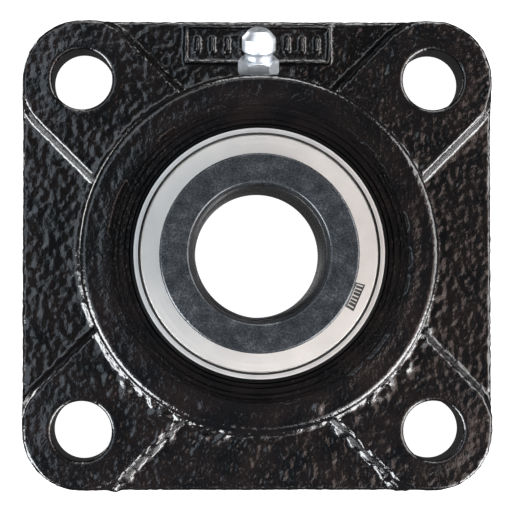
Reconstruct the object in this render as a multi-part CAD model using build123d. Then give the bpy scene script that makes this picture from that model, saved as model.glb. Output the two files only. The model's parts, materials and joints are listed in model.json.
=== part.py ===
from build123d import *
import math
import os

# Square four-bolt flange unit with a self-aligning insert bearing and an eccentric locking collar.
# Millimetres. Z is the shaft axis and z = 0 is the mounting face. +Y is the grease fitting's side.

# Cast housing
FLANGE_SIDE = 95.0
CORNER_RADIUS = 12.5
WALL_DRAFT = 2.5
BOLT_SPACING = 70.0
BOLT_HOLE_RADIUS = 6.0
BOLT_HOLE_EDGE = 0.7
LUG_HEIGHT = 13.0
PANEL_HEIGHT = 8.5
WEB_HALF_WIDTH = 13.1
WEB_DRAFT = 12.5
CAST_FILLET = 0.9
ROOT_FILLET = 1.4
POCKET_FILLET = 3.0
HUB_HEIGHT = 27.0
HUB_RADIUS = 34.9
HUB_DRAFT = 2.0
HUB_EDGE = 1.5
REAR_OPENING_RADIUS = 28.5
REAR_OPENING_DEPTH = 8.5
MARK_PANEL_WIDTH = 30.0
MARK_PANEL_DEPTH = 8.2
MARK_PANEL_MIDDLE = 42.4
MARK_RELIEF = 0.9
MARK_LINE = 1.1
MARK_RIBS = 9

# Insert bearing
CENTRE_HEIGHT = 18.0
OUTER_SPHERE_RADIUS = 26.0
SEAT_CLEARANCE = 0.03
OUTER_RING_WIDTH = 15.0
PITCH_RADIUS = 19.52
BALL_RADIUS = 3.969
BALL_COUNT = 9
GROOVE_RADIUS = 4.05
OUTER_LAND_RADIUS = 21.9
SEAL_SEAT_RADIUS = 22.95
FACE_BORE_RADIUS = 23.55
SHAFT_RADIUS = 12.5
INNER_LAND_RADIUS = 16.9
INNER_REAR = 0.5
INNER_LENGTH = 34.9
BORE_EDGE = 0.6

# Seals, measured outwards from the bearing's centre plane
SEAL_START = 5.4
SHROUD_THICKNESS = 0.4
WASHER_THICKNESS = 0.8
OUTER_SHROUD_THICKNESS = 0.7
LIP_CLEARANCE = 0.04

# Cage
CAGE_SHEET = 0.8
CAGE_CLEARANCE = 0.1
RIVET_RADIUS = 0.6

# Eccentric lock: the collar's recess and the inner ring's cam share an axis beside the shaft's
CAM_OFFSET = 0.8
CAM_RADIUS = 15.3
CAM_CLEARANCE = 0.05
COLLAR_TURN = 44.0
COLLAR_SHIFT_ANGLE = 222.0
COLLAR_RADIUS = 18.7
COLLAR_BORE_RADIUS = 13.15
COLLAR_REAR = 31.4
COLLAR_FRONT = 44.9
COLLAR_EDGE = 0.6
SCREW_RADIUS = 3.0
SCREW_CLEARANCE = 0.04
SCREW_HEIGHT = 40.4
SCREW_ANGLE = 78.0
DRIFT_HOLE_ANGLE = 150.0
DRIFT_HOLE_RADIUS = 2.4

# Grease fitting
FITTING_TILT = 25.0
FITTING_BASE = (0.0, 35.7, 18.5)
BOSS_RADIUS = 5.2
HEX_ACROSS_FLATS = 7.0
THREAD_RADIUS = 3.0
THREAD_LENGTH = 5.5
HEX_HEIGHT = 3.1
NECK_RADIUS = 2.7
HEAD_RADIUS = 3.25
HEAD_HEIGHT = 9.0
TIP_RADIUS = 1.75
CAVITY_RADIUS = 1.3
PASSAGE_RADIUS = 1.4
CHECK_BALL_RADIUS = 1.0
CHECK_BALL_PLACE = 7.08
SPRING_WIRE_RADIUS = 0.17
SPRING_COIL_RADIUS = 0.85
SPRING_TURNS = 7

HALF_SPACING = BOLT_SPACING / 2
LUG_PLACES = [(x, y) for x in (-HALF_SPACING, HALF_SPACING) for y in (-HALF_SPACING, HALF_SPACING)]
CENTRE = Pos(0, 0, CENTRE_HEIGHT)
INNER_FRONT = INNER_REAR + INNER_LENGTH
FITTING_SEAT = Pos(*FITTING_BASE) * Rot(FITTING_TILT - 90, 0, 0)


def eccentric_places():
    """Centres of the cam and of the collar. The collar has turned about the cam, off the shaft's axis."""
    cam_angle = math.radians(COLLAR_SHIFT_ANGLE + 90 - COLLAR_TURN / 2)
    turned_angle = cam_angle + math.radians(COLLAR_TURN)
    cam = (CAM_OFFSET * math.cos(cam_angle), CAM_OFFSET * math.sin(cam_angle))
    collar = (
        cam[0] - CAM_OFFSET * math.cos(turned_angle),
        cam[1] - CAM_OFFSET * math.sin(turned_angle),
    )
    return cam, collar


CAM_PLACE, COLLAR_PLACE = eccentric_places()
SCREW_PLACE = Pos(*COLLAR_PLACE, SCREW_HEIGHT) * Rot(0, 0, SCREW_ANGLE) * Rot(0, 90, 0)


def turned(*outline):
    """A solid turned about Z from an outline of (radius, height) points."""
    return revolve(Plane.XZ * make_face(Polyline(*outline, close=True)), Axis.Z)


def ring(inner, outer, low, high):
    """A plain ring about Z between two heights."""
    return turned((inner, low), (outer, low), (outer, high), (inner, high))


def disc(radius, low, high):
    """A plain cylinder about Z between two heights."""
    return Pos(0, 0, low) * Cylinder(radius, high - low, align=(Align.CENTER, Align.CENTER, Align.MIN))


def around(count, radius, start=0.0):
    """Places evenly spaced round Z."""
    return [Rot(0, 0, start + 360 * k / count) * Pos(radius, 0, 0) for k in range(count)]


def edges_at(shape, height, tolerance=1e-3):
    """The edges that lie flat at one height."""
    return [
        e
        for e in shape.edges()
        if abs(e.bounding_box().min.Z - height) < tolerance
        and abs(e.bounding_box().max.Z - height) < tolerance
    ]


def hub_radius_at(height):
    return HUB_RADIUS + (HUB_HEIGHT - height) * math.tan(math.radians(HUB_DRAFT))


def flange_block():
    """The drafted square of the flange, as high as the lugs, with its front edge rounded."""
    outline = RectangleRounded(FLANGE_SIDE, FLANGE_SIDE, CORNER_RADIUS)
    block = extrude(outline, LUG_HEIGHT, taper=WALL_DRAFT)
    return fillet(edges_at(block, LUG_HEIGHT), CAST_FILLET)


def flange_plate():
    """The block cut down to thin panels between the lugs. Its fillet runs on round the panels' rims."""
    plate = flange_block() - panel_cutter()
    web_edges = [
        e
        for e in edges_at(plate, LUG_HEIGHT)
        if e.length < 2 * CORNER_RADIUS / math.sqrt(2) and math.hypot(e.center().X, e.center().Y) < 54
    ]
    return fillet(web_edges, CAST_FILLET)


def hub_cone():
    """The hub's drafted outside with its rounded front edge."""
    cone = turned(
        (0, 0),
        (hub_radius_at(PANEL_HEIGHT - 1), 0),
        (hub_radius_at(PANEL_HEIGHT - 1), PANEL_HEIGHT - 1),
        (HUB_RADIUS, HUB_HEIGHT),
        (0, HUB_HEIGHT),
    )
    return fillet(edges_at(cone, HUB_HEIGHT), HUB_EDGE)


def root_ring(height, size):
    """The concave fillet where the hub's wall meets a face at this height."""
    wall = hub_radius_at(height)
    foot = wall + size
    corner = turned(
        (wall - 2, height - 0.5), (foot, height - 0.5), (foot, height), (wall - 2, height + size)
    )
    return corner - Pos(0, 0, height + size) * Torus(foot, size)


def panel_cutter():
    """The space over the thin panels between the lugs, with sloped walls and a rounded floor."""
    star = Sketch() + Circle(hub_radius_at(LUG_HEIGHT) - 0.6)
    for angle in (45, -45):
        star += Rot(0, 0, angle) * SlotCenterToCenter(BOLT_SPACING * math.sqrt(2), 2 * WEB_HALF_WIDTH)
    inner_corners = [v for v in star.vertices() if math.hypot(v.X, v.Y) < HALF_SPACING + 5]
    star = fillet(inner_corners, POCKET_FILLET)
    lugs = extrude(star, LUG_HEIGHT, taper=WEB_DRAFT)
    space = extrude(Rectangle(2 * FLANGE_SIDE, 2 * FLANGE_SIDE), LUG_HEIGHT) - lugs
    floor_edges = [e for e in edges_at(space, 0) if e.center().length < FLANGE_SIDE * 0.7]
    return Pos(0, 0, PANEL_HEIGHT) * fillet(floor_edges, CAST_FILLET)


def front_recess():
    """The turned steps that open from the bearing seat to the hub's front face."""
    steps = ((25.1, 24.5), (26.0, 25.0), (27.3, 25.6), (28.2, 26.1), (28.9, 26.5), (29.3, HUB_HEIGHT + 1))
    outline = [(0, 24.5)]
    for (radius, height), (_, next_height) in zip(steps, steps[1:]):
        outline.append((radius, height))
        outline.append((radius + 0.25, next_height))
    outline += [(29.6, HUB_HEIGHT + 1), (0, HUB_HEIGHT + 1)]
    return turned(*outline)


def bearing_seat():
    """The spherical seat, its turned front, its cast rear opening and the two slots for fitting."""
    seat = CENTRE * Sphere(OUTER_SPHERE_RADIUS + SEAT_CLEARANCE)
    rear = turned(
        (0, -1),
        (REAR_OPENING_RADIUS + 0.4, -1),
        (REAR_OPENING_RADIUS, 1),
        (25.2, REAR_OPENING_DEPTH),
        (0, REAR_OPENING_DEPTH),
    )
    slot_length = 2 * OUTER_SPHERE_RADIUS + 0.8
    slot = Box(
        slot_length, OUTER_RING_WIDTH + 0.8, CENTRE_HEIGHT + 1, align=(Align.CENTER, Align.CENTER, Align.MIN)
    )
    slots = Pos(0, 0, -1) * slot & disc(slot_length / 2, -1, CENTRE_HEIGHT)
    return seat + rear + slots + front_recess()


def mark_panel():
    """A raised frame with plain upright ribs, cast on the panel behind the grease fitting."""
    low = PANEL_HEIGHT - 0.5
    high = PANEL_HEIGHT + MARK_RELIEF
    frame = Rectangle(MARK_PANEL_WIDTH, MARK_PANEL_DEPTH) - Rectangle(
        MARK_PANEL_WIDTH - 2 * MARK_LINE, MARK_PANEL_DEPTH - 2 * MARK_LINE
    )
    pitch = MARK_PANEL_WIDTH / (MARK_RIBS + 1)
    rib_height = MARK_PANEL_DEPTH - 4 * MARK_LINE
    marks = Sketch() + frame
    for k in range(MARK_RIBS):
        place = (k - (MARK_RIBS - 1) / 2) * pitch
        marks += Pos(place, 0) * Rectangle(1.3 * MARK_LINE, rib_height)
    return Pos(0, MARK_PANEL_MIDDLE, low) * extrude(marks, high - low, taper=12)


def flange_housing():
    lug_roots = root_ring(LUG_HEIGHT, ROOT_FILLET) - panel_cutter()
    hub = hub_cone() + lug_roots + root_ring(PANEL_HEIGHT, ROOT_FILLET)
    boss = FITTING_SEAT * Pos(0, 0, -9) * Cone(
        BOSS_RADIUS + 0.7, BOSS_RADIUS, 9, align=(Align.CENTER, Align.CENTER, Align.MIN)
    )
    casting = flange_plate() + hub + boss + mark_panel()
    casting -= FITTING_SEAT * disc(BOSS_RADIUS, 0, 12)
    casting -= bearing_seat()
    for x, y in LUG_PLACES:
        casting -= Pos(x, y) * disc(BOLT_HOLE_RADIUS, -1, LUG_HEIGHT + 1)
    mouths = [
        e
        for e in edges_at(casting, LUG_HEIGHT)
        if abs(e.length - 2 * math.pi * BOLT_HOLE_RADIUS) < 0.01
    ]
    casting = fillet(mouths, BOLT_HOLE_EDGE)
    casting -= FITTING_SEAT * disc(THREAD_RADIUS, -THREAD_LENGTH - 0.5, 1)
    casting -= FITTING_SEAT * disc(PASSAGE_RADIUS, -14, 1)
    return casting


def raceway():
    """The torus that both rings' grooves are cut to, a little larger than the balls."""
    return CENTRE * Torus(PITCH_RADIUS, GROOVE_RADIUS)


def outer_ring():
    half = OUTER_RING_WIDTH / 2
    seal_step = 6.5
    outline = turned(
        (OUTER_LAND_RADIUS, -SEAL_START),
        (SEAL_SEAT_RADIUS, -SEAL_START),
        (SEAL_SEAT_RADIUS, -seal_step),
        (FACE_BORE_RADIUS, -seal_step),
        (FACE_BORE_RADIUS, -half),
        (24.4, -half),
        (24.85, -half + 0.45),
        (OUTER_SPHERE_RADIUS + 1, -half + 0.45),
        (OUTER_SPHERE_RADIUS + 1, half - 0.45),
        (24.85, half - 0.45),
        (24.4, half),
        (FACE_BORE_RADIUS, half),
        (FACE_BORE_RADIUS, seal_step),
        (SEAL_SEAT_RADIUS, seal_step),
        (SEAL_SEAT_RADIUS, SEAL_START),
        (OUTER_LAND_RADIUS, SEAL_START),
    )
    body = CENTRE * (outline & Sphere(OUTER_SPHERE_RADIUS)) - raceway()
    grease_groove = CENTRE * ring(OUTER_SPHERE_RADIUS - 0.75, OUTER_SPHERE_RADIUS + 1, -5.3, -3.3)
    body -= grease_groove
    for place in around(2, 0, 90):
        body -= CENTRE * Pos(0, 0, -4.3) * place * Rot(0, 90, 0) * disc(0.9, 0, OUTER_SPHERE_RADIUS + 1)
    return body


def inner_ring():
    """The wide inner ring with its eccentric cam at the collar's end."""
    neck = INNER_LAND_RADIUS - 1.2
    land_rear = CENTRE_HEIGHT - 10.5
    land_front = CENTRE_HEIGHT + 10.0
    cam_start = land_front + 1.2
    body = turned(
        (SHAFT_RADIUS, INNER_REAR + BORE_EDGE),
        (SHAFT_RADIUS + BORE_EDGE, INNER_REAR),
        (neck - 0.5, INNER_REAR),
        (neck, INNER_REAR + 0.5),
        (neck, land_rear - 0.6),
        (INNER_LAND_RADIUS, land_rear),
        (INNER_LAND_RADIUS, land_front - 0.5),
        (INNER_LAND_RADIUS - 0.5, land_front),
        (14.4, land_front),
        (14.4, cam_start + 1),
        (SHAFT_RADIUS, cam_start + 1),
    )
    cam = Pos(*CAM_PLACE, 0) * turned(
        (0, cam_start), (CAM_RADIUS, cam_start), (CAM_RADIUS, INNER_FRONT - 0.4),
        (CAM_RADIUS - 0.4, INNER_FRONT), (0, INNER_FRONT),
    )
    bore = turned(
        (0, 0),
        (SHAFT_RADIUS, 0),
        (SHAFT_RADIUS, INNER_FRONT - BORE_EDGE),
        (SHAFT_RADIUS + 2 * BORE_EDGE, INNER_FRONT + BORE_EDGE),
        (0, INNER_FRONT + BORE_EDGE),
    )
    return body + (cam - bore) - raceway()


def ball(place):
    return CENTRE * place * Sphere(BALL_RADIUS)


def cage_half(side):
    """One pressed half of the ribbon cage: a flat strip with a cup round each ball."""
    inner = PITCH_RADIUS - 1.7
    outer = PITCH_RADIUS + 1.7
    cup_radius = BALL_RADIUS + CAGE_CLEARANCE + CAGE_SHEET
    band = ring(inner, outer, 0, cup_radius + 1)
    half = ring(inner + 0.2, outer - 0.2, 0, CAGE_SHEET)
    for place in around(BALL_COUNT, PITCH_RADIUS):
        half += place * Sphere(cup_radius) & band
    for place in around(BALL_COUNT, PITCH_RADIUS):
        half -= place * Sphere(BALL_RADIUS + CAGE_CLEARANCE)
    for place in around(BALL_COUNT, PITCH_RADIUS, 180 / BALL_COUNT):
        half -= place * disc(RIVET_RADIUS, -1, CAGE_SHEET + 1)
    return CENTRE * (half if side > 0 else Rot(180, 0, 0) * half)


def cage_rivets():
    shank_end = CAGE_SHEET
    head = 0.4
    rivet = turned(
        (0, -shank_end - head), (0.9, -shank_end - head), (1.1, -shank_end), (RIVET_RADIUS, -shank_end),
        (RIVET_RADIUS, shank_end), (1.1, shank_end), (0.9, shank_end + head), (0, shank_end + head),
    )
    return Compound([CENTRE * place * rivet for place in around(BALL_COUNT, PITCH_RADIUS, 180 / BALL_COUNT)])


def seal_pieces():
    """Front seal pieces by name: two pressed shrouds with a rubber washer between them."""
    washer_low = SEAL_START + SHROUD_THICKNESS
    washer_high = washer_low + WASHER_THICKNESS
    front = washer_high + OUTER_SHROUD_THICKNESS
    rim = SEAL_SEAT_RADIUS + 0.15
    return {
        "inner_shroud": turned(
            (17.5, SEAL_START), (SEAL_SEAT_RADIUS - 0.05, SEAL_START),
            (SEAL_SEAT_RADIUS - 0.05, washer_low), (17.5, washer_low),
        ),
        "washer": turned(
            (INNER_LAND_RADIUS + LIP_CLEARANCE, washer_low + 0.25), (17.4, washer_low),
            (SEAL_SEAT_RADIUS - 0.05, washer_low), (SEAL_SEAT_RADIUS - 0.05, washer_high - 0.1),
            (SEAL_SEAT_RADIUS - 0.05, washer_high), (17.4, washer_high),
            (INNER_LAND_RADIUS + LIP_CLEARANCE, washer_high - 0.25),
        ),
        "outer_shroud": turned(
            (17.2, washer_high), (rim, washer_high), (rim, front - 0.25),
            (rim - 0.25, front), (17.45, front), (17.2, front - 0.25),
        ),
    }


def locking_collar():
    """The collar, off the shaft's axis, with its eccentric recess over the inner ring's cam."""
    place = Pos(*COLLAR_PLACE, 0)
    body = place * turned(
        (COLLAR_BORE_RADIUS, COLLAR_REAR),
        (COLLAR_RADIUS - 0.4, COLLAR_REAR),
        (COLLAR_RADIUS, COLLAR_REAR + 0.4),
        (COLLAR_RADIUS, COLLAR_FRONT),
        (COLLAR_BORE_RADIUS, COLLAR_FRONT),
    )
    body = fillet(edges_at(body, COLLAR_FRONT), COLLAR_EDGE * 0.8)
    body -= Pos(*CAM_PLACE, 0) * disc(CAM_RADIUS + CAM_CLEARANCE, COLLAR_REAR - 1, INNER_FRONT + 0.6)
    body -= SCREW_PLACE * disc(SCREW_RADIUS, 0, COLLAR_RADIUS + 2)
    drift = place * Pos(0, 0, SCREW_HEIGHT) * Rot(0, 0, DRIFT_HOLE_ANGLE) * Rot(0, 90, 0)
    body -= drift * disc(DRIFT_HOLE_RADIUS, COLLAR_RADIUS - 3.6, COLLAR_RADIUS + 2)
    return body


def collar_set_screw():
    """Cup-point set screw with a hexagon socket, standing just inside the collar's outside."""
    tip = COLLAR_BORE_RADIUS + 0.35
    top = COLLAR_RADIUS - 0.25
    radius = SCREW_RADIUS - SCREW_CLEARANCE
    body = turned(
        (0, tip + 0.5), (1.0, tip), (1.6, tip), (radius, tip + 1.0), (radius, top - 0.4),
        (radius - 0.4, top), (0, top),
    )
    socket = Pos(0, 0, top - 2.4) * extrude(RegularPolygon(1.5, 6, major_radius=False), 3)
    return SCREW_PLACE * (body - socket)


def grease_fitting():
    """Hexagon body with its threaded shank, neck and coupling head, drilled through."""
    corner = HEX_ACROSS_FLATS / math.sqrt(3)
    hexagon = extrude(RegularPolygon(HEX_ACROSS_FLATS / 2, 6, major_radius=False), HEX_HEIGHT)
    hexagon &= turned(
        (0, 0), (corner - 0.25, 0), (corner + 0.15, 0.4), (corner + 0.15, HEX_HEIGHT - 0.6),
        (HEX_ACROSS_FLATS / 2 - 0.1, HEX_HEIGHT), (0, HEX_HEIGHT),
    )
    stem = turned(
        (0, -THREAD_LENGTH), (THREAD_RADIUS - 0.5, -THREAD_LENGTH), (THREAD_RADIUS, -THREAD_LENGTH + 0.5),
        (THREAD_RADIUS, 0), (NECK_RADIUS, 0.5), (NECK_RADIUS, 4.1), (HEAD_RADIUS - 0.2, 4.7),
        (HEAD_RADIUS, 5.0), (HEAD_RADIUS, 7.4), (TIP_RADIUS + 0.35, HEAD_HEIGHT - 0.25),
        (TIP_RADIUS, HEAD_HEIGHT), (0, HEAD_HEIGHT),
    )
    cavity_top = CHECK_BALL_PLACE + 0.12
    mouth = 0.6
    bore = disc(mouth, cavity_top, HEAD_HEIGHT + 1)
    bore += disc(CAVITY_RADIUS, -1.5, cavity_top)
    bore += disc(0.8, -THREAD_LENGTH - 1, 0)
    seat_length = 0.8
    seat = Pos(0, 0, cavity_top - 0.05) * Cone(
        CAVITY_RADIUS, mouth, seat_length, align=(Align.CENTER, Align.CENTER, Align.MIN)
    )
    return FITTING_SEAT * (hexagon + stem - bore - seat)


def grease_check_ball():
    return FITTING_SEAT * Pos(0, 0, CHECK_BALL_PLACE) * Sphere(CHECK_BALL_RADIUS)


def grease_check_spring():
    """The coil that stands on the plug and holds the check ball shut."""
    low = SPRING_WIRE_RADIUS
    high = CHECK_BALL_PLACE - CHECK_BALL_RADIUS - 0.05 - SPRING_WIRE_RADIUS
    path = Helix((high - low) / SPRING_TURNS, high - low, SPRING_COIL_RADIUS, center=(0, 0, low))
    start = Plane(origin=path @ 0, z_dir=path % 0)
    return FITTING_SEAT * sweep(start * Circle(SPRING_WIRE_RADIUS), path=path)


def grease_spring_plug():
    """The ring staked into the shank's end, which the spring stands on."""
    return FITTING_SEAT * ring(0.55, CAVITY_RADIUS, -0.8, 0)


def seals():
    """Both seals: the front pieces, and the same pieces turned over at the rear."""
    pieces = {}
    for name, piece in seal_pieces().items():
        pieces["seal_front_" + name] = CENTRE * piece
        pieces["seal_rear_" + name] = CENTRE * Rot(180, 0, 0) * piece
    return pieces


def assembly():
    parts = {
        "flange_housing": flange_housing(),
        "outer_ring": outer_ring(),
        "inner_ring": inner_ring(),
        "cage_front_half": cage_half(1),
        "cage_rear_half": cage_half(-1),
        "cage_rivets": cage_rivets(),
        "locking_collar": locking_collar(),
        "collar_set_screw": collar_set_screw(),
        "grease_fitting": grease_fitting(),
        "grease_check_ball": grease_check_ball(),
        "grease_check_spring": grease_check_spring(),
        "grease_spring_plug": grease_spring_plug(),
    }
    parts.update(seals())
    for k, place in enumerate(around(BALL_COUNT, PITCH_RADIUS)):
        parts[f"ball_{k + 1}"] = ball(place)
    return parts


os.makedirs("parts", exist_ok=True)
for node, shape in assembly().items():
    export_step(shape, f"parts/{node}.step")
print("cam centre", [round(v, 4) for v in CAM_PLACE], "collar centre", [round(v, 4) for v in COLLAR_PLACE])
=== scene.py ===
"""A square four-bolt flange bearing unit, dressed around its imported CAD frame. Metres, +Z along the shaft."""

import json
import math

import bmesh
import bpy
from mathutils import Matrix, Vector, kdtree, noise
from mathutils.bvhtree import BVHTree
from mathutils.geometry import delaunay_2d_cdt


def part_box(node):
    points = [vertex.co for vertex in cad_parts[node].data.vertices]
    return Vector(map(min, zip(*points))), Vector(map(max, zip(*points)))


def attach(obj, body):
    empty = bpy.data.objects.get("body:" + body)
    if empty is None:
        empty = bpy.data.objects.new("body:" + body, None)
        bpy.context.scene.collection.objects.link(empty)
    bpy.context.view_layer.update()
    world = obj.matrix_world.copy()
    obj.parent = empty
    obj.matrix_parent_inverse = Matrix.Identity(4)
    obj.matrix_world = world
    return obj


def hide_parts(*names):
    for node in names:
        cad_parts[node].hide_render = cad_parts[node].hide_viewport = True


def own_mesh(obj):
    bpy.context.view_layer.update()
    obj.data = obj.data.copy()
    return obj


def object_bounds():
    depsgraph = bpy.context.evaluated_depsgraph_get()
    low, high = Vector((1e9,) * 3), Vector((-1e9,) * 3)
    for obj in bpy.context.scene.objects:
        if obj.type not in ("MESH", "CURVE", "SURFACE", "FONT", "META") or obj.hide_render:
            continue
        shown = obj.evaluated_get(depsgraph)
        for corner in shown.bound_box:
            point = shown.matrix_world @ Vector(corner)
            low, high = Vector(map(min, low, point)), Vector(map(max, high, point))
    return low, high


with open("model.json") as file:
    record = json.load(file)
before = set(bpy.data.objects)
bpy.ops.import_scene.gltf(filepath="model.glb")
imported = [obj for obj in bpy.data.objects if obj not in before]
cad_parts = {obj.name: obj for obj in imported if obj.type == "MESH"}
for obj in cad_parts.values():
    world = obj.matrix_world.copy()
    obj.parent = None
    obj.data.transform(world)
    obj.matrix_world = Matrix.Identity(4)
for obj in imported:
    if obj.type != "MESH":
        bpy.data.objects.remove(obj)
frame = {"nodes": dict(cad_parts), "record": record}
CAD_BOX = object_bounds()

MM = 0.001
WHITE = (1.0, 1.0, 1.0)
scene = bpy.context.scene
scene.view_settings.view_transform = "Standard"
scene.view_settings.look = "None"

# Half a metre in front of the flange, a little left of the shaft's axis and below it
CAMERA_AT = Vector((-12.1, -11.3, 500.0)) * MM
CAMERA_AIM = Vector((0.27, -0.2, 0.0)) * MM
SENSOR_MM = 36.0
LENS_MM = 171.2
CLIP_START = 0.01


def add_camera():
    data = bpy.data.cameras.new("camera")
    data.sensor_width = SENSOR_MM
    data.lens = LENS_MM
    data.clip_start = CLIP_START
    camera = bpy.data.objects.new("camera", data)
    back = (CAMERA_AT - CAMERA_AIM).normalized()
    right = Vector((0, 1, 0)).cross(back).normalized()
    turn = Matrix((right, back.cross(right), back)).transposed()
    camera.matrix_world = Matrix.Translation(CAMERA_AT) @ turn.to_4x4()
    scene.collection.objects.link(camera)
    scene.camera = camera


def linked_object(bm, name, material):
    """Turn a bmesh into an object of one material."""
    mesh = bpy.data.meshes.new(name)
    bm.to_mesh(mesh)
    bm.free()
    mesh.materials.append(material)
    piece = bpy.data.objects.new(name, mesh)
    scene.collection.objects.link(piece)
    return piece


# ---------------------------------------------------------------- materials

NOISE_RANGE = (0.3, 0.7)    # where nearly all of a noise texture's values lie
NOWHERE = 1.0               # a radius that nothing here reaches
GAP_SHADE_EDGE = 0.05 * MM      # how far outwards bare steel takes to turn into the black painted shade
# the black painted on steel as shade for the gap between the outer ring and the housing
GAP_SHADE_BLACK = (0.02, 0.02, 0.021, 1.0)


class Nodes:
    """A small helper that adds and links shader nodes in one material."""

    def __init__(self, name):
        self.material = bpy.data.materials.new(name)
        self.material.use_nodes = True
        self.tree = self.material.node_tree
        self.shader = self.tree.nodes["Principled BSDF"]
        self.place = self.add("ShaderNodeTexCoord").outputs["Object"]

    def add(self, kind, **values):
        node = self.tree.nodes.new(kind)
        for key, value in values.items():
            if hasattr(node, key):
                setattr(node, key, value)
            else:
                node.inputs[key].default_value = value
        return node

    def link(self, source, target):
        self.tree.links.new(source, target)

    def noise(self, scale, detail=2.0, roughness=0.5, source=None):
        node = self.add("ShaderNodeTexNoise", Scale=scale, Detail=detail, Roughness=roughness)
        self.link(source or self.place, node.inputs["Vector"])
        return node.outputs["Fac"]

    def ramp(self, value, stops):
        node = self.add("ShaderNodeValToRGB")
        ramp = node.color_ramp
        while len(ramp.elements) < len(stops):
            ramp.elements.new(0.5)
        for element, (position, colour) in zip(ramp.elements, stops):
            element.position = position
            element.color = (*colour, 1.0)
        self.link(value, node.inputs["Fac"])
        return node.outputs["Color"]

    def span(self, value, low, high, to_low, to_high):
        node = self.add("ShaderNodeMapRange")
        self.link(value, node.inputs["Value"])
        for key, number in zip(("From Min", "From Max", "To Min", "To Max"), (low, high, to_low, to_high)):
            node.inputs[key].default_value = number
        return node.outputs["Result"]

    def maths(self, operation, a, b=0.0):
        node = self.add("ShaderNodeMath", operation=operation)
        for socket, value in zip(node.inputs, (a, b)):
            if isinstance(value, (int, float)):
                socket.default_value = value
            else:
                self.link(value, socket)
        return node.outputs["Value"]

    def bump(self, height, distance, after=None):
        node = self.add("ShaderNodeBump", Strength=1.0, Distance=distance)
        self.link(height, node.inputs["Height"])
        if after is not None:
            self.link(after, node.inputs["Normal"])
        return node.outputs["Normal"]

    def colour(self, value, stops):
        self.link(self.ramp(value, stops), self.shader.inputs["Base Color"])

    def roughness(self, value, low, high):
        self.link(self.span(value, *NOISE_RANGE, low, high), self.shader.inputs["Roughness"])

    def relief(self, normal):
        self.link(normal, self.shader.inputs["Normal"])


def paint_black():
    """Gloss black enamel that follows the sand-cast surface under it."""
    n = Nodes("cast_enamel")
    lumps = n.noise(1300.0, roughness=0.55)
    grain = n.noise(3600.0, roughness=0.6)
    tint = n.noise(160.0)
    n.colour(tint, [(0.35, (0.001, 0.0012, 0.0016)), (0.68, (0.0045, 0.0032, 0.0032))])
    n.roughness(grain, 0.09, 0.2)
    n.relief(n.bump(grain, 0.02 * MM, after=n.bump(lumps, 0.09 * MM)))
    return n.material


def steel(name, light, dark, rough_low, rough_high, lines=9000.0, depth=0.004 * MM, gap_shade_from=NOWHERE):
    """Turned or ground steel with fine rings, faint stains, and black painted shade from a radius outwards."""
    n = Nodes(name)
    split = n.add("ShaderNodeSeparateXYZ")
    n.link(n.place, split.inputs["Vector"])
    x_squared = n.maths("MULTIPLY", split.outputs["X"], split.outputs["X"])
    y_squared = n.maths("MULTIPLY", split.outputs["Y"], split.outputs["Y"])
    radius = n.maths("SQRT", n.maths("ADD", x_squared, y_squared))
    rings = n.add("ShaderNodeCombineXYZ")
    n.link(radius, rings.inputs["X"])
    n.link(split.outputs["Z"], rings.inputs["Z"])
    turned = n.noise(lines, roughness=0.6, source=rings.outputs["Vector"])
    cloud = n.noise(220.0, detail=3.0)
    # Past the given radius the steel's colour turns to black: painted shade for the gap outside the ring
    gap_shade_amount = n.span(radius, gap_shade_from, gap_shade_from + GAP_SHADE_EDGE, 0.0, 1.0)
    colour = n.add("ShaderNodeMix", data_type="RGBA")
    n.link(gap_shade_amount, colour.inputs["Factor"])
    n.link(n.ramp(cloud, [(0.3, dark), (0.7, light)]), colour.inputs["A"])
    colour.inputs["B"].default_value = GAP_SHADE_BLACK
    n.link(colour.outputs["Result"], n.shader.inputs["Base Color"])
    n.roughness(turned, rough_low, rough_high)
    n.relief(n.bump(turned, depth))
    n.shader.inputs["Metallic"].default_value = 1.0
    return n.material


def black_oxide():
    """Blued steel: near black and satin, with a fine salt-and-pepper grain."""
    n = Nodes("black_oxide")
    cloud = n.noise(420.0, detail=3.0)
    grain = n.noise(3400.0, roughness=0.7)
    mottle = n.maths("ADD", n.maths("MULTIPLY", cloud, 0.45), n.maths("MULTIPLY", grain, 0.55))
    n.colour(mottle, [(0.38, (0.011, 0.0135, 0.016)), (0.56, (0.028, 0.031, 0.035)),
                      (0.68, (0.068, 0.071, 0.077))])
    n.roughness(grain, 0.2, 0.34)
    n.relief(n.bump(grain, 0.012 * MM))
    n.shader.inputs["Metallic"].default_value = 0.5
    return n.material


def rubber():
    n = Nodes("nitrile_rubber")
    grain = n.noise(4000.0, detail=3.0)
    n.colour(grain, [(0.3, (0.01, 0.01, 0.01)), (0.7, (0.022, 0.022, 0.023))])
    n.roughness(grain, 0.55, 0.75)
    n.relief(n.bump(grain, 0.01 * MM))
    return n.material


def ink():
    n = Nodes("printing_ink")
    blot = n.noise(6000.0)
    n.colour(blot, [(0.3, (0.004, 0.004, 0.004)), (0.7, (0.012, 0.012, 0.013))])
    n.roughness(blot, 0.45, 0.6)
    n.relief(n.bump(blot, 0.004 * MM))
    return n.material


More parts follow.
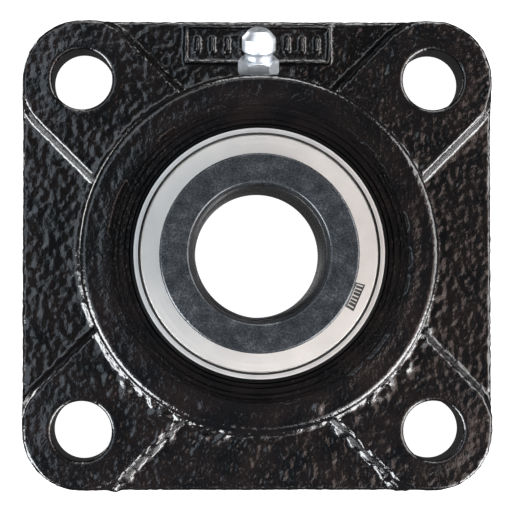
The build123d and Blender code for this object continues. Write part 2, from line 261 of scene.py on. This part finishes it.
def dress_nodes():
    enamel = paint_black()
    # The outer ring's steel turns black beyond 24.35 mm: painted shade for the gap between it and the housing
    ring_steel = steel("ring_steel", (0.8, 0.79, 0.78), (0.7, 0.69, 0.68), 0.3, 0.42,
                       gap_shade_from=24.35 * MM)
    shroud = steel("shroud_steel", (0.58, 0.56, 0.54), (0.52, 0.505, 0.49), 0.42, 0.52, lines=5000.0)
    # A darker copy of the ring steel: painted shade for the inside of the inner ring's bore
    painted_shade_bore_steel = steel("painted_shade_bore_steel", (0.3, 0.3, 0.31), (0.2, 0.2, 0.21), 0.2, 0.32)
    polished = steel("ball_steel", (0.8, 0.8, 0.8), (0.72, 0.72, 0.72), 0.05, 0.1)
    pressed = steel("cage_steel", (0.52, 0.51, 0.49), (0.42, 0.41, 0.4), 0.3, 0.45)
    zinc = steel("bright_zinc", (0.72, 0.75, 0.78), (0.5, 0.53, 0.57), 0.4, 0.54,
                 lines=900.0, depth=0.05 * MM)
    oxide = black_oxide()
    seal = rubber()
    by_slot = {
        "cast_paint": enamel, "ring_steel": ring_steel, "shroud_steel": shroud, "ball_steel": polished,
        "cage_steel": pressed, "rivet_steel": pressed, "zinc": zinc, "spring_steel": zinc,
        "black_oxide": oxide, "screw_black": oxide, "seal_rubber": seal,
    }
    slots = {s["node"]: s["material_slot"] for s in frame["record"]["subparts"]}
    for name, node in frame["nodes"].items():
        node.data.materials.clear()
        # The inner ring takes the darkened steel, which is painted shade inside the bore
        node.data.materials.append(painted_shade_bore_steel if name == "inner_ring" else by_slot[slots[name]])


# ---------------------------------------------------------------- the casting's places

HUB_MOUTH = 29.7 * MM       # radius of the hub's machined mouth
HUB_FACE = 27.0 * MM        # height of the hub
HUB_RIM = 34.9 * MM         # radius of the hub at its face
HUB_FOOT = 36.6 * MM        # radius of the hub where it meets the flange
WEB_WALL = 12.8 * MM        # from the middle of a web to its wall
OUTER_WALL = 47.5 * MM
BOLT_PLACES = [Vector((x, y)) for x in (-35 * MM, 35 * MM) for y in (-35 * MM, 35 * MM)]
BOLT_HOLE = 6.0 * MM
FITTING_AT = Vector((0.0, 35.7, 18.5)) * MM
FITTING_ALONG = Vector((0.0, math.cos(math.radians(25)), math.sin(math.radians(25))))
BOSS = 5.2 * MM
MARK_LOW = Vector((-15.6, 37.5, 8.75)) * MM
MARK_HIGH = Vector((15.6, 47.0, 9.6)) * MM
SKIN_GAP = 0.05 * MM        # how far from a machined face the cast ones begin

# Where the relief starts and where it is full
FOOT_FADE = (0.3 * MM, 1.6 * MM)
MOUTH_FADE = (HUB_MOUTH + 0.2 * MM, HUB_MOUTH + 2 * MM)
BOLT_FADE = (BOLT_HOLE + 0.8 * MM, BOLT_HOLE + 3 * MM)
BOSS_FADE = (BOSS - 1 * MM, BOSS + 0.5 * MM)
BOSS_FROM = 12 * MM
RIM_OUT_FADE = (HUB_RIM - 2 * MM, HUB_RIM - 1 * MM)
RIM_UP_FADE = (HUB_FACE - 6 * MM, HUB_FACE - 3 * MM)
FACE_SHARE = 0.6            # how much of the relief the hub's face has
FACE_FROM = HUB_FACE - 1 * MM
CALMED = 0.65               # how much the hub's rim and the upper webs' edges lose of it
CALM_WEB = (1.4 * MM, 2.6 * MM)

# The relief: noise per millimetre, and how much of each kind goes into the depth
CAST_DEPTH = 0.32 * MM
LUMP_PITCH, LUMP_SHARE = 0.85, 0.5
CREASE_PITCH, CREASE_SHARE, CREASE_LEVEL = 1.15, 0.35, 0.75
CREASE_SHIFT = Vector((7, 3, 5))
SWELL_PITCH, SWELL_SHARE = 0.16, 0.2
MEAN_SINK = 0.42

# The scabs at the foot of the hub: (angle round the shaft, full within, gone beyond) in degrees
SCAB_SPOTS = ((238, 14, 34), (322, 12, 30))
SCAB_LEAST = 0.12
SCAB_FOOT = (0.6 * MM, 2.6 * MM)
SCAB_TOP = (12 * MM, 15.5 * MM)
SCAB_WEB = (0.4 * MM, 1.6 * MM)
SCAB_HEIGHT = 1.1 * MM
WEB_SCAB_SHARE = 0.8
SCAB_PITCH, SCAB_BIAS = 0.55, 0.12
SCAB_SHIFT = Vector((1, 9, 4))


def ease(value, low, high):
    """0 below low, 1 above high, and a smooth step between."""
    t = min(max((value - low) / (high - low), 0.0), 1.0)
    return t * t * (3 - 2 * t)


def within(distance, full, gone):
    """1 up to the distance full, 0 beyond gone, and a smooth step between."""
    return ease(-distance, -gone, -full)


def bolt_distance(p):
    return min((p.xy - place).length for place in BOLT_PLACES)


def as_cast(p):
    """Whether a point of the housing lies on a face that the casting's mould left rough."""
    return p.xy.length > HUB_MOUTH and p.z > SKIN_GAP and bolt_distance(p) > BOLT_HOLE + SKIN_GAP


def cast_weight(p):
    """How rough the casting is at a point, fading out towards the machined and drilled faces."""
    weight = ease(p.z, *FOOT_FADE) * ease(p.xy.length, *MOUTH_FADE)
    weight *= ease(bolt_distance(p), *BOLT_FADE)
    if p.z > BOSS_FROM:
        reach = p - FITTING_AT
        weight *= ease((reach - FITTING_ALONG * reach.dot(FITTING_ALONG)).length, *BOSS_FADE)
    on_rim = ease(p.xy.length, *RIM_OUT_FADE) * ease(p.z, *RIM_UP_FADE)
    from_web_wall = abs(abs(p.x) - p.y - math.sqrt(2) * WEB_WALL)
    upper_web = within(from_web_wall, *CALM_WEB) if p.y > 0 else 0.0
    return weight * (FACE_SHARE if p.z > FACE_FROM else 1.0) * (1 - CALMED * max(on_rim, upper_web))


def sink(p):
    """Depth of the cast surface below its drawn place: soft lumps with creases between them."""
    q = p / MM
    lumps = noise.noise(q * LUMP_PITCH)
    creases = 1 - abs(noise.noise(q * CREASE_PITCH + CREASE_SHIFT))
    swell = noise.noise(q * SWELL_PITCH)
    depth = MEAN_SINK + LUMP_SHARE * lumps - CREASE_SHARE * (creases - CREASE_LEVEL) + SWELL_SHARE * swell
    return CAST_DEPTH * min(max(depth, 0.0), 1.0)


def scab(p):
    """Extra metal that the mould left at the foot of the hub and along the two lower webs."""
    angle = math.degrees(math.atan2(p.y, p.x)) % 360
    place = max(SCAB_LEAST, *(within(abs(angle - spot), full, gone) for spot, full, gone in SCAB_SPOTS))
    foot = within(abs(p.xy.length - HUB_FOOT), *SCAB_FOOT) * within(p.z, *SCAB_TOP)
    across = (abs(p.x) + p.y) / math.sqrt(2)
    web = within(abs(across + WEB_WALL), *SCAB_WEB) if p.y < -HUB_FOOT / 2 else 0.0
    lumps = max(noise.noise(p / MM * SCAB_PITCH + SCAB_SHIFT) + SCAB_BIAS, 0.0)
    return lumps * max(SCAB_HEIGHT * place * foot, WEB_SCAB_SHARE * SCAB_HEIGHT * web)


# ---------------------------------------------------------------- the casting's mesh

FRONT_GRID = 0.46 * MM
WALL_GRID = 0.75 * MM
EDGE_LIMIT = 0.8 * MM
RIM_EDGE_LIMIT = 1.6 * MM
NO_LIMIT = 1.0
OUTER_BAND = 1.4 * MM       # how wide the strip inside the outer wall is that has longer edges
OUTER_LINE = 0.1 * MM       # what counts as on the outer wall
FLAT_AREA = 30 * MM * MM
LEVEL_GAP = 2e-7
WELD_GAP = 1e-7
ON_FACE = 1e-6
CDT_EPSILON = 1e-6
LEAST_AREA = 0.0001         # twice a triangle's area in square millimetres
RIM_CLEAR = 0.5             # free space round a rim's edges, in grid steps
RIM_PARTS = 4
FRONT_NORMAL = 0.9
STEEP_NORMAL = 0.7
SLIT_SIDES = 12
SHARP_ANGLE = math.radians(32)
ROUGH_FROM = 0.5
MARK_ROUNDS = 4
MARK_SMOOTHING = 0.5
SKIN_FACES = 170000
BACK_NORMAL = -0.99


def flat_groups(bm):
    """Connected sets of coplanar cast faces, each with its normal and its offset."""
    seen = set()
    groups = []
    for seed in bm.faces:
        if seed in seen or not as_cast(seed.calc_center_median()):
            continue
        normal = seed.normal.copy()
        offset = normal.dot(seed.verts[0].co)
        group = [seed]
        seen.add(seed)
        for face in group:
            for edge in face.edges:
                for other in edge.link_faces:
                    level = all(abs(normal.dot(v.co) - offset) < LEVEL_GAP for v in other.verts)
                    if other not in seen and level and as_cast(other.calc_center_median()):
                        seen.add(other)
                        group.append(other)
        if sum(f.calc_area() for f in group) > FLAT_AREA:
            groups.append((normal, offset, group))
    return groups


def split_triangle(corners, middles):
    """The triangles that replace one whose edges may have a point at their middle."""
    count = sum(m is not None for m in middles)
    if count == 0:
        return [corners]
    first = 0
    if count == 1:
        first = next(k for k in range(3) if middles[k] is not None)
    if count == 2:
        first = (next(k for k in range(3) if middles[k] is None) + 1) % 3
    a, b, c = (corners[(first + k) % 3] for k in range(3))
    ab, bc, ca = (middles[(first + k) % 3] for k in range(3))
    if count == 1:
        return [(a, ab, c), (ab, b, c)]
    if count == 2:
        return [(ab, b, bc), (a, ab, bc), (a, bc, c)]
    return [(a, ab, ca), (ab, b, bc), (ca, bc, c), (ab, bc, ca)]


def edge_limit(p):
    """How long an edge may be there: short on rough faces, and any length on machined ones."""
    outermost = max(abs(p.x), abs(p.y))
    if as_cast(p):
        return RIM_EDGE_LIMIT if outermost > OUTER_WALL - OUTER_BAND else EDGE_LIMIT
    return EDGE_LIMIT if outermost > OUTER_WALL - OUTER_LINE else NO_LIMIT


def split_long_edges(points, triangles, rims):
    """Halve the cast faces' edges, and the flat groups' rims with them, until all are short."""
    while True:
        known = {}

        def middle(a, b):
            key = (min(a, b), max(a, b))
            if key not in known:
                known[key] = None
                half = (points[a] + points[b]) / 2
                if (points[a] - points[b]).length > edge_limit(half):
                    known[key] = len(points)
                    points.append(half)
            return known[key]

        before = len(points)
        finer = []
        for a, b, c in triangles:
            finer += split_triangle((a, b, c), (middle(a, b), middle(b, c), middle(c, a)))
        triangles[:] = finer
        for rim in rims:
            halved = []
            for a, b in rim:
                m = middle(a, b)
                halved += [(a, b)] if m is None else [(a, m), (m, b)]
            rim[:] = halved
        if len(points) == before:
            return


def fill_flat(points, triangles, rim, normal, offset, tree):
    """Close the hole that a flat group left with well-shaped triangles of about one size."""
    grid = FRONT_GRID if normal.z > FRONT_NORMAL else WALL_GRID
    side = Vector((0, 0, 1)) if abs(normal.z) < STEEP_NORMAL else Vector((1, 0, 0))
    u = (side - normal * normal.dot(side)).normalized()
    v = normal.cross(u)
    used = sorted({k for edge in rim for k in edge})
    index = {k: place for place, k in enumerate(used)}
    near = kdtree.KDTree(RIM_PARTS * len(rim))
    for place, (a, b) in enumerate(rim):
        for part in range(RIM_PARTS):
            near.insert(points[a].lerp(points[b], part / RIM_PARTS), RIM_PARTS * place + part)
    near.balance()
    across = [points[k].dot(u) for k in used]
    along = [points[k].dot(v) for k in used]
    row_step = grid * math.sqrt(3) / 2
    for row in range(int((max(along) - min(along)) / row_step) + 1):
        for column in range(int((max(across) - min(across)) / grid) + 1):
            at = u * (min(across) + (column + 0.5 * (row % 2)) * grid) + v * (min(along) + row * row_step)
            at += normal * offset
            if tree.find_nearest(at, ON_FACE)[0] is not None and near.find(at)[2] > RIM_CLEAR * grid:
                used.append(len(points))
                points.append(at)
    flat = [Vector((points[k].dot(u), points[k].dot(v))) / MM for k in used]
    made = delaunay_2d_cdt(flat, [(index[a], index[b]) for a, b in rim], [], 0, CDT_EPSILON)
    places, faces, origins = made[0], made[2], made[3]
    for face in faces:
        a, b, c = (places[k] for k in face)
        middle = (a + b + c) / 3 * MM
        inside = tree.find_nearest(u * middle.x + v * middle.y + normal * offset, ON_FACE)[0] is not None
        if inside and abs((b - a).cross(c - a)) > LEAST_AREA:
            triangles.append(tuple(used[origins[k][0]] for k in face))


def refined_housing():
    """The housing's drawn shape, with its cast faces cut into triangles small enough for their relief."""
    bm = bmesh.new()
    bm.from_mesh(frame["nodes"]["flange_housing"].data)
    bmesh.ops.remove_doubles(bm, verts=bm.verts, dist=WELD_GAP)
    bm.normal_update()
    bm.verts.index_update()
    points = [w.co.copy() for w in bm.verts]
    groups = flat_groups(bm)
    flat = set()
    rims = []
    trees = []
    for _, _, group in groups:
        members = set(group)
        flat |= members
        rims.append([tuple(w.index for w in e.verts) for f in group for e in f.edges
                     if not all(other in members for other in e.link_faces)])
        corners = [w.co.copy() for f in group for w in f.verts]
        whole = [(3 * k, 3 * k + 1, 3 * k + 2) for k in range(len(group))]
        trees.append(BVHTree.FromPolygons(corners, whole))
    triangles = [tuple(w.index for w in f.verts) for f in bm.faces if f not in flat]
    split_long_edges(points, triangles, rims)
    for (normal, offset, _), rim, tree in zip(groups, rims, trees):
        fill_flat(points, triangles, rim, normal, offset, tree)
    bm.clear()
    verts = [bm.verts.new(p) for p in points]
    for triangle in triangles:
        bm.faces.new([verts[k] for k in triangle])
    slits = [e for e in bm.edges if len(e.link_faces) == 1]
    made = bmesh.ops.holes_fill(bm, edges=slits, sides=SLIT_SIDES)
    bmesh.ops.triangulate(bm, faces=made["faces"])
    bmesh.ops.recalc_face_normals(bm, faces=bm.faces)
    bm.normal_update()
    return bm


def thinned(piece, faces):
    """Replace the piece's mesh with one of about so many faces."""
    thin = piece.modifiers.new("thin", "DECIMATE")
    thin.ratio = min(1.0, faces / len(piece.data.polygons))
    evaluated = piece.evaluated_get(bpy.context.evaluated_depsgraph_get())
    mesh = bpy.data.meshes.new_from_object(evaluated)
    mesh.name = piece.name
    piece.data = mesh
    piece.modifiers.clear()


def add_casting_skin():
    """The housing with the real relief of its sand-cast faces, on the drawn shape."""
    bm = refined_housing()
    for edge in bm.edges:
        rough = cast_weight(edge.verts[0].co) > ROUGH_FROM
        edge.smooth = rough or edge.calc_face_angle(0.0) < SHARP_ANGLE
    marks = [w for w in bm.verts if all(MARK_LOW[k] < w.co[k] < MARK_HIGH[k] for k in range(3))]
    for _ in range(MARK_ROUNDS):
        bmesh.ops.smooth_vert(bm, verts=marks, factor=MARK_SMOOTHING,
                              use_axis_x=True, use_axis_y=True, use_axis_z=True)
    bm.normal_update()
    moves = [(w, w.normal * (scab(w.co) - sink(w.co)) * cast_weight(w.co)) for w in bm.verts]
    for w, move in moves:
        w.co = Vector(min(max(c, low), high) for c, low, high in zip(w.co + move, *CAD_BOX))
    for face in bm.faces:
        face.smooth = True
    casting = linked_object(bm, "housing_casting", paint_black())
    thinned(casting, SKIN_FACES)
    # The back is machined flat, so each of its faces is shaded by its own normal
    for face in casting.data.polygons:
        face.use_smooth = face.normal.z > BACK_NORMAL
    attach(casting, "housing")
    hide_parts("flange_housing")


# ---------------------------------------------------------------- the shroud's printed mark

PRINT_RADIUS = 20.5 * MM
PRINT_ANGLE = -24.0
PRINT_LENGTH = 5.4 * MM
PRINT_WIDTH = 1.9 * MM
PRINT_LINE = 0.28 * MM
PRINT_THICKNESS = 0.015 * MM
PRINT_BARS = 7
BROAD_BAR = 2.1             # in lines, and every third bar is broad
BAR = 1.7


def add_print():
    """A plain printed block of bars in a frame on the front shroud."""
    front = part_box("seal_front_outer_shroud")[1][2]
    bm = bmesh.new()

    def bar(x_low, x_high, y_low, y_high):
        """x is along the circle, y is out from the axis."""
        corners = []
        for x, y in ((x_low, y_low), (x_high, y_low), (x_high, y_high), (x_low, y_high)):
            angle = math.radians(PRINT_ANGLE) + x / PRINT_RADIUS
            radius = PRINT_RADIUS + y
            corners.append((radius * math.cos(angle), radius * math.sin(angle)))
        low = [bm.verts.new((x, y, front)) for x, y in corners]
        high = [bm.verts.new((x, y, front + PRINT_THICKNESS)) for x, y in corners]
        bm.faces.new(high[::-1])
        bm.faces.new(low)
        for k in range(4):
            bm.faces.new((low[k - 1], low[k], high[k], high[k - 1]))

    half_length = PRINT_LENGTH / 2
    half_width = PRINT_WIDTH / 2
    reach = half_width - PRINT_LINE
    for side in (-1, 1):
        edge = side * (half_width - PRINT_LINE / 2)
        bar(-half_length, half_length, edge - PRINT_LINE / 2, edge + PRINT_LINE / 2)
    pitch = (PRINT_LENGTH - PRINT_LINE) / PRINT_BARS
    for k in range(PRINT_BARS + 1):
        start = -half_length + k * pitch
        wide = PRINT_LINE * (BROAD_BAR if k % 3 == 1 else BAR)
        bar(start, min(start + wide, half_length), -reach, reach)
    bmesh.ops.recalc_face_normals(bm, faces=bm.faces)
    mark = linked_object(bm, "shroud_print", ink())
    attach(mark, "outer_ring")


# ---------------------------------------------------------------- the seals' beads and the check spring

GROOVE_INNER = 23.12 * MM
GROOVE_OUTER = 23.54 * MM
GROOVE_FLOOR = 6.5 * MM
BEAD_GAP = 0.01 * MM
BEAD_HEIGHT = 0.35 * MM
BEAD_SHOULDER = 0.7         # its share of the bead's height
CENTRE_HEIGHT = 18.0 * MM
LATHE_STEPS = 180
SPRING_RADIUS = 0.85 * MM
SPRING_WIRE = 0.17 * MM
SPRING_TOP = 5.86 * MM
SPRING_TURNS = 7
TURN_STEPS = 24
WIRE_SIDES = 8


def add_lathed(name, outline, body, material):
    """A ring turned about Z from a closed outline of (radius, height) points."""
    bm = bmesh.new()
    rows = []
    for k in range(LATHE_STEPS):
        angle = 2 * math.pi * k / LATHE_STEPS
        rows.append([bm.verts.new((r * math.cos(angle), r * math.sin(angle), z)) for r, z in outline])
    for k, row in enumerate(rows):
        after = rows[(k + 1) % LATHE_STEPS]
        for j in range(len(outline)):
            i = (j + 1) % len(outline)
            bm.faces.new((row[j], after[j], after[i], row[i])).smooth = True
    bmesh.ops.recalc_face_normals(bm, faces=bm.faces)
    piece = linked_object(bm, name, material)
    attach(piece, body)


def add_seal_beads():
    """The rubber that squeezes out round each shroud and fills the floor of the outer ring's groove."""
    middle = (GROOVE_INNER + GROOVE_OUTER) / 2
    for name, side in (("front", 1), ("rear", -1)):
        floor = CENTRE_HEIGHT + side * (GROOVE_FLOOR + BEAD_GAP)
        crown = floor + side * BEAD_HEIGHT
        shoulder = floor + side * BEAD_HEIGHT * BEAD_SHOULDER
        outline = [(GROOVE_INNER, floor), (GROOVE_OUTER, floor), (GROOVE_OUTER, shoulder),
                   (middle, crown), (GROOVE_INNER, shoulder)]
        add_lathed(f"seal_{name}_bead", outline, "outer_ring", rubber())


def add_check_spring():
    """The spring under the grease fitting's ball, built as one fixed coil."""
    out = Vector((1, 0, 0))
    side = FITTING_ALONG.cross(out)
    bm = bmesh.new()
    rows = []
    steps = TURN_STEPS * SPRING_TURNS
    angles = [2 * math.pi * j / WIRE_SIDES for j in range(WIRE_SIDES)]
    for k in range(steps + 1):
        turn = 2 * math.pi * k / TURN_STEPS
        radial = out * math.cos(turn) + side * math.sin(turn)
        height = SPRING_WIRE + (SPRING_TOP - SPRING_WIRE) * k / steps
        middle = FITTING_AT + radial * SPRING_RADIUS + FITTING_ALONG * height
        rows.append([bm.verts.new(middle + (radial * math.cos(a) + FITTING_ALONG * math.sin(a)) * SPRING_WIRE)
                     for a in angles])
    for row, after in zip(rows, rows[1:]):
        for j in range(WIRE_SIDES):
            bm.faces.new((row[j - 1], row[j], after[j], after[j - 1])).smooth = True
    bm.faces.new(rows[0])
    bm.faces.new(rows[-1])
    bmesh.ops.recalc_face_normals(bm, faces=bm.faces)
    wire = steel("spring_steel", (0.6, 0.6, 0.6), (0.5, 0.5, 0.5), 0.25, 0.4)
    spring = linked_object(bm, "check_spring", wire)
    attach(spring, "housing")
    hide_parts("grease_check_spring")
    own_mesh(spring)


# ---------------------------------------------------------------- floor and lights

FLOOR_GAP = 0.05 * MM
FLOOR_SIZE = 6.0
LIGHTS_AIM = Vector((0, 0, 15)) * MM
WORLD_LEVEL = 0.08
BELOW_LEVEL = 0.05
HORIZON = (-0.15, 0.1)      # the level changes between these heights of the direction looked in
COOL = (0.76, 0.88, 1.0)
WARM = (1.0, 0.8, 0.73)
PANELS = (                  # name, place in metres, size, watts, colour
    ("high_left", (-0.36, 0.05, 0.6), (0.5, 0.45), 1.6, COOL),
    ("high_right", (0.4, -0.1, 0.6), (0.45, 0.45), 1.5, WARM),
    ("high_near", (0.25, -0.42, 0.62), (0.4, 0.3), 1.1, WHITE),
    ("high_far", (-0.15, 0.42, 0.6), (0.5, 0.35), 1.1, (0.93, 0.96, 1.0)),
    ("low_right", (0.62, -0.52, 0.36), (0.65, 0.55), 24.0, WHITE),
    ("low_east", (0.78, 0.2, 0.4), (0.8, 0.6), 13.0, WHITE),
    ("low_left", (-0.68, -0.46, 0.36), (0.65, 0.55), 26.0, (0.95, 0.98, 1.0)),
    ("low_far", (0.1, 0.85, 0.3), (0.6, 0.3), 6.0, WHITE),
    ("under_right", (0.6, -0.4, -0.5), (0.5, 0.5), 5.0, WHITE),
    ("under_left", (-0.6, 0.3, -0.5), (0.5, 0.5), 5.0, WHITE),
)


def add_floor():
    """A white floor just under the flange. It can't be seen from below, so the back can be looked at."""
    bpy.ops.mesh.primitive_plane_add(size=FLOOR_SIZE, location=(0, 0, -FLOOR_GAP))
    floor = bpy.context.object
    floor.name = "floor"
    n = Nodes("paper")
    n.colour(n.noise(40.0), [(0.3, (0.17, 0.17, 0.17)), (0.7, (0.19, 0.19, 0.19))])
    n.shader.inputs["Roughness"].default_value = 0.9
    n.shader.inputs["Emission Color"].default_value = (*WHITE, 1.0)
    n.shader.inputs["Emission Strength"].default_value = 1.0
    seen = n.add("ShaderNodeLightPath").outputs["Is Camera Ray"]
    front = n.maths("SUBTRACT", 1.0, n.add("ShaderNodeNewGeometry").outputs["Backfacing"])
    mix = n.add("ShaderNodeMixShader")
    n.link(n.maths("MULTIPLY", seen, front), mix.inputs["Fac"])
    n.link(n.add("ShaderNodeBsdfTransparent").outputs["BSDF"], mix.inputs[1])
    n.link(n.shader.outputs["BSDF"], mix.inputs[2])
    n.link(mix.outputs["Shader"], n.tree.nodes["Material Output"].inputs["Surface"])
    floor.data.materials.append(n.material)


def add_world():
    """A dim surround, dimmer still below the horizon, so that drilled walls stay dark."""
    world = bpy.data.worlds.new("studio")
    scene.world = world
    world.use_nodes = True
    tree = world.node_tree
    background = tree.nodes["Background"]
    background.inputs["Color"].default_value = (*WHITE, 1.0)
    split = tree.nodes.new("ShaderNodeSeparateXYZ")
    level = tree.nodes.new("ShaderNodeMapRange")
    numbers = (*HORIZON, BELOW_LEVEL, WORLD_LEVEL)
    for key, number in zip(("From Min", "From Max", "To Min", "To Max"), numbers):
        level.inputs[key].default_value = number
    tree.links.new(tree.nodes.new("ShaderNodeTexCoord").outputs["Generated"], split.inputs["Vector"])
    tree.links.new(split.outputs["Z"], level.inputs["Value"])
    tree.links.new(level.outputs["Result"], background.inputs["Strength"])


def add_lights():
    """Soft panels: a high ring for the rough faces, a low ring for the walls, and two for the back."""
    for name, at, size, watts, colour in PANELS:
        data = bpy.data.lights.new(name, "AREA")
        data.shape = "RECTANGLE"
        data.size, data.size_y = size
        data.energy = watts
        data.color = colour
        light = bpy.data.objects.new(name, data)
        light.location = at
        light.rotation_euler = (LIGHTS_AIM - Vector(at)).to_track_quat("-Z", "Y").to_euler()
        scene.collection.objects.link(light)


add_camera()
add_floor()
add_world()
add_lights()
dress_nodes()
add_casting_skin()
add_print()
add_seal_beads()
add_check_spring()
